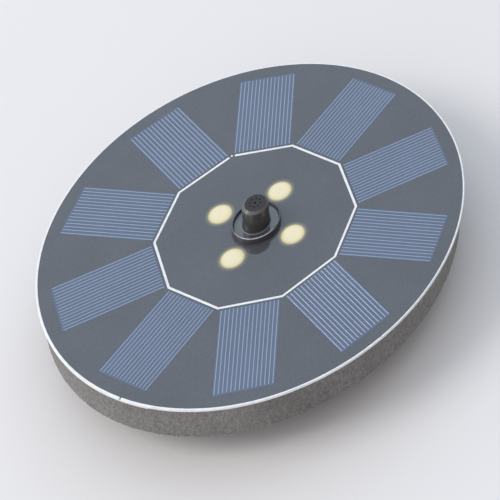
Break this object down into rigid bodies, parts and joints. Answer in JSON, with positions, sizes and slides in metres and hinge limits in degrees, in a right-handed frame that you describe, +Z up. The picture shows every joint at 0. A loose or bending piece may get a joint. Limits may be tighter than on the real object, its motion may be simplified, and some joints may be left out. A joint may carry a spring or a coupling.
{
  "type": "solar fountain pump",
  "caption": "Round floating solar fountain: a flat solar face on a foam float, a small centrifugal pump in a strainer below and a spray nozzle at the centre.",
  "frame": {"origin": "centre of the bottom, on the plane of the strainer's feet, under the nozzle's axis", "axes": "+Z up along the nozzle's axis and the round float's axis; the pump's rotor axis runs along X, and +X points to the motor end of the pump"},
  "size_m": [0.16, 0.16, 0.0431],
  "materials": {
    "white_plastic": "satin",
    "panel_laminate": "gloss",
    "solar_silicon": "gloss",
    "tinned_copper": "satin",
    "wire_sleeve": "satin",
    "led_lens": "gloss",
    "led_chip": "satin",
    "circuit_board": "satin",
    "component_black": "matte",
    "seal_rubber": "matte",
    "black_plastic": "satin",
    "nozzle_plastic": "satin",
    "tape_white": "matte",
    "float_foam": "matte",
    "stainless": "satin",
    "core_steel": "matte",
    "bobbin_plastic": "satin",
    "enamel_copper": "gloss",
    "potting_resin": "gloss",
    "shaft_ceramic": "polished",
    "washer_plastic": "satin",
    "impeller_plastic": "satin",
    "magnet_ferrite": "matte",
    "sponge_foam": "matte"
  },
  "bodies": {
    "float_body": {"backing_plate": "white_plastic", "outer_face": "panel_laminate", "center_face": "panel_laminate", "solar_cell_01": "solar_silicon", "solar_cell_02": "solar_silicon", "solar_cell_03": "solar_silicon", "solar_cell_04": "solar_silicon", "solar_cell_05": "solar_silicon", "solar_cell_06": "solar_silicon", "solar_cell_07": "solar_silicon", "solar_cell_08": "solar_silicon", "solar_cell_09": "solar_silicon", "solar_cell_10": "solar_silicon", "cell_ribbons": "tinned_copper", "solar_leads": "wire_sleeve", "led_lens_1": "led_lens", "led_lens_2": "led_lens", "led_lens_3": "led_lens", "led_lens_4": "led_lens", "led_chips": "led_chip", "control_board": "circuit_board", "board_components": "component_black", "mount_gasket": "seal_rubber", "pump_mount": "black_plastic", "float_tape": "tape_white", "float_ring": "float_foam", "pump_housing": "black_plastic", "volute_cover": "black_plastic", "cover_gasket": "seal_rubber", "cover_screws": "stainless", "pump_screws": "stainless", "stator_core": "core_steel", "coil_bobbin": "bobbin_plastic", "stator_winding": "enamel_copper", "driver_board": "circuit_board", "driver_components": "component_black", "potting_plug": "potting_resin", "rotor_shaft": "shaft_ceramic", "front_bush": "seal_rubber", "rear_bush": "seal_rubber", "thrust_washers": "washer_plastic", "pump_leads": "wire_sleeve", "lead_grommet": "seal_rubber"},
    "rotor": {"impeller": "impeller_plastic", "rotor_magnet": "magnet_ferrite"},
    "nozzle": {"nozzle_body": "nozzle_plastic", "nozzle_seal": "seal_rubber"},
    "spray_cap": {"spray_cap": "nozzle_plastic"},
    "strainer": {"strainer_cup": "black_plastic", "filter_sponge": "sponge_foam"}
  },
  "joints": [
    {"name": "rotor_spin", "type": "hinge", "parent": "float_body", "child": "rotor", "pos_m": [0, -0.0056, 0.0133], "axis": [1, 0, 0], "continuous": true},
    {"name": "nozzle_lift", "type": "slide", "parent": "float_body", "child": "nozzle", "axis": [0, 0, 1], "range_m": [0, 0.014]},
    {"name": "spray_cap_lift", "type": "slide", "parent": "nozzle", "child": "spray_cap", "axis": [0, 0, 1], "range_m": [0, 0.006]},
    {"name": "strainer_release", "type": "slide", "parent": "float_body", "child": "strainer", "axis": [0, 0, -1], "range_m": [0, 0.03]}
  ]
}
